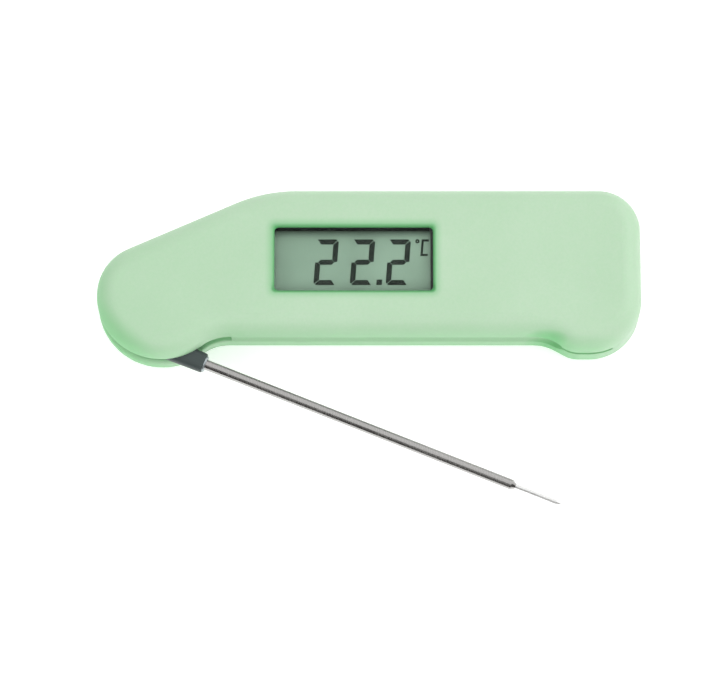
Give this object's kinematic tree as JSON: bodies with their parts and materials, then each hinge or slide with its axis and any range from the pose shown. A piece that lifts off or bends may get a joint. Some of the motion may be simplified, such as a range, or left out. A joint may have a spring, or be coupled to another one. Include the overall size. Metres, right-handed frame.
{
  "type": "folding probe thermometer",
  "caption": "Pocket digital food thermometer with a steel needle probe that folds against the case, a recessed display window and a coin-cell compartment at the back.",
  "frame": {"origin": "the probe's pivot axis where it meets the flat back of the case", "axes": "+X runs along the case away from the pivot, +Y across it towards the long straight edge, +Z from the flat back to the display face"},
  "size_m": [0.1563, 0.0919, 0.019],
  "materials": {
    "adhesive": "black foam tape",
    "alloy_a": "thermocouple alloy",
    "alloy_b": "thermocouple alloy",
    "black_plastic": "black moulding",
    "brass": "turned brass",
    "cell_steel": "nickel-plated steel",
    "chip_black": "moulded epoxy, tinned leads",
    "collar_steel": "polished",
    "foam": "closed-cell foam",
    "gold": "plated contact",
    "hub_grey": "satin slate grey",
    "label_grey": "plain label",
    "lcd_film": "polarising film",
    "lcd_glass": "thin glass",
    "lcd_ink": "dark segments",
    "lens": "clear hard-coated window",
    "magnet": "nickel-plated magnet",
    "mint_case": "soft satin, fine texture",
    "pcb_green": "solder mask",
    "reed_glass": "glass tube with plated leads",
    "rubber_black": "moulded seal rubber",
    "rubber_grey": "silicone",
    "screw_steel": "zinc plated",
    "smd": "chip capacitors and resistors",
    "steel": "ground stainless steel",
    "tin": "tinned",
    "trim_blue": "blue moulding",
    "white_plastic": "white moulding",
    "wire_red": "insulated lead"
  },
  "bodies": {
    "case": {"front_case": "mint_case", "rear_case": "mint_case", "case_seal": "rubber_grey", "case_screws": "screw_steel", "back_label": "label_grey", "cover_seal": "rubber_grey", "cover_inserts": "brass", "coin_cell_1": "cell_steel", "coin_cell_2": "cell_steel", "positive_contacts": "tin", "negative_springs": "tin", "unit_switch_body": "black_plastic", "display_window": "lens", "window_adhesive": "adhesive", "lcd_polariser": "lcd_film", "lcd_front_glass": "lcd_glass", "lcd_rear_glass": "lcd_glass", "lcd_reflector": "lcd_film", "lcd_edge_seal": "black_plastic", "lcd_digits": "lcd_ink", "lcd_frame": "black_plastic", "zebra_strips": "rubber_grey", "lcd_foam_pad": "foam", "circuit_board": "pcb_green", "board_screws": "screw_steel", "microcontroller": "chip_black", "amplifier_chip": "chip_black", "crystal": "tin", "smd_parts": "smd", "trimmer_bodies": "trim_blue", "reed_switch": "reed_glass", "reference_sensor": "chip_black", "battery_pins": "tin", "contact_carrier": "black_plastic", "contact_wipers": "gold", "sensor_leads": "wire_red"},
    "probe": {"probe_hub": "hub_grey", "hub_cap": "hub_grey", "hub_screws": "screw_steel", "hub_seals": "rubber_black", "hub_magnet": "magnet", "contact_disc": "white_plastic", "contact_rings": "gold", "probe_stem": "steel", "probe_tip": "steel", "probe_collar": "collar_steel", "thermocouple_positive_wire": "alloy_a", "thermocouple_negative_wire": "alloy_b", "junction_bead": "alloy_b"},
    "cover": {"battery_cover": "mint_case"},
    "screw_a": {"cover_screw_1": "screw_steel"},
    "screw_b": {"cover_screw_2": "screw_steel"},
    "zero_rotor": {"zero_trimmer_rotor": "brass"},
    "span_rotor": {"span_trimmer_rotor": "brass"},
    "unit_slider": {"unit_switch_slider": "white_plastic"}
  },
  "joints": [
    {"name": "probe_fold", "type": "hinge", "parent": "case", "child": "probe", "pos_m": [0, 0, 0.0101], "axis": [0, 0, -1], "range_deg": [-22.03, 157.97]},
    {"name": "battery_cover_lift", "type": "slide", "parent": "case", "child": "cover", "axis": [0, 0, -1], "range_m": [0, 0.025]},
    {"name": "cover_screw_1_out", "type": "slide", "parent": "cover", "child": "screw_a", "axis": [0, 0, -1], "range_m": [0, 0.006]},
    {"name": "cover_screw_2_out", "type": "slide", "parent": "cover", "child": "screw_b", "axis": [0, 0, -1], "range_m": [0, 0.006]},
    {"name": "zero_trim", "type": "hinge", "parent": "case", "child": "zero_rotor", "pos_m": [0.0743, 0.0164, 0.0075], "axis": [0, 0, -1], "range_deg": [-120, 120]},
    {"name": "span_trim", "type": "hinge", "parent": "case", "child": "span_rotor", "pos_m": [0.0743, 0.0026, 0.0075], "axis": [0, 0, -1], "range_deg": [-120, 120]},
    {"name": "unit_switch", "type": "slide", "parent": "case", "child": "unit_slider", "axis": [1, 0, 0], "range_m": [0, 0.0012]}
  ]
}
